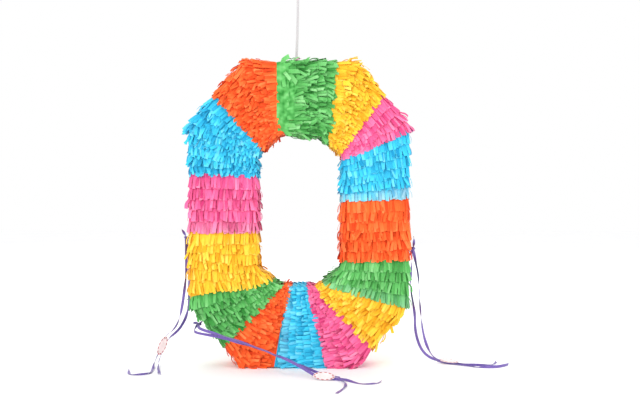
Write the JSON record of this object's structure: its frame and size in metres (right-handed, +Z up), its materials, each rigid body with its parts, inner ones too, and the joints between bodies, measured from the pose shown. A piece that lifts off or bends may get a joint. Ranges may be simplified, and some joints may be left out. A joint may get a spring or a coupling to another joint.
{
  "type": "pinata",
  "caption": "Number zero pinata: a hollow card box covered in tissue fringe, with a fill flap, a hanging ribbon and hanging side ribbons.",
  "frame": {"origin": "on the floor under the middle of the number", "axes": "+Z up, +X to the right of the number as it is read, front face looking along -Y"},
  "size_m": [0.6824, 0.2998, 0.7016],
  "materials": {
    "card": "matte",
    "tissue_green": "matte",
    "tissue_yellow": "matte",
    "tissue_pink": "matte",
    "tissue_cyan": "matte",
    "tissue_orange": "matte",
    "purple_ribbon": "satin",
    "white_ribbon": "satin",
    "label_paper": "satin"
  },
  "bodies": {
    "shell": {"front_panel": "card", "back_panel": "card", "outer_wall_left": "card", "outer_wall_right": "card", "inner_wall": "card", "front_glue_tabs": "card", "back_glue_tabs": "card", "hang_backing_card": "card", "left_tie_washer": "card", "right_tie_washer": "card", "lower_tie_washer": "card", "fringe_top_green": "tissue_green", "fringe_top_yellow": "tissue_yellow", "fringe_shoulder_pink": "tissue_pink", "fringe_right_cyan": "tissue_cyan", "fringe_right_orange": "tissue_orange", "fringe_right_green": "tissue_green", "fringe_corner_yellow": "tissue_yellow", "fringe_base_pink": "tissue_pink", "fringe_base_cyan": "tissue_cyan", "fringe_base_orange": "tissue_orange", "fringe_left_green": "tissue_green", "fringe_left_yellow": "tissue_yellow", "fringe_left_pink": "tissue_pink", "fringe_left_cyan": "tissue_cyan", "fringe_top_orange": "tissue_orange", "green_header": "tissue_green", "left_ribbon_tie": "purple_ribbon", "left_ribbon_front": "purple_ribbon", "left_ribbon_rear": "purple_ribbon", "left_label": "label_paper", "right_ribbon_tie": "purple_ribbon", "right_ribbon_front": "purple_ribbon", "right_ribbon_rear": "purple_ribbon", "right_label": "label_paper", "lower_ribbon_tie": "purple_ribbon", "lower_ribbon_front": "purple_ribbon", "lower_ribbon_rear": "purple_ribbon", "lower_label": "label_paper", "hang_tie": "white_ribbon", "hang_ribbon": "white_ribbon", "hang_loop": "white_ribbon"},
    "flap": {"fill_flap": "card", "fill_flap_fringe": "tissue_green"}
  },
  "joints": [
    {"name": "fill_flap_hinge", "type": "hinge", "parent": "shell", "child": "flap", "pos_m": [-0.015, -0.04, 0.48], "axis": [0, 0, -1], "range_deg": [0, 110]}
  ]
}
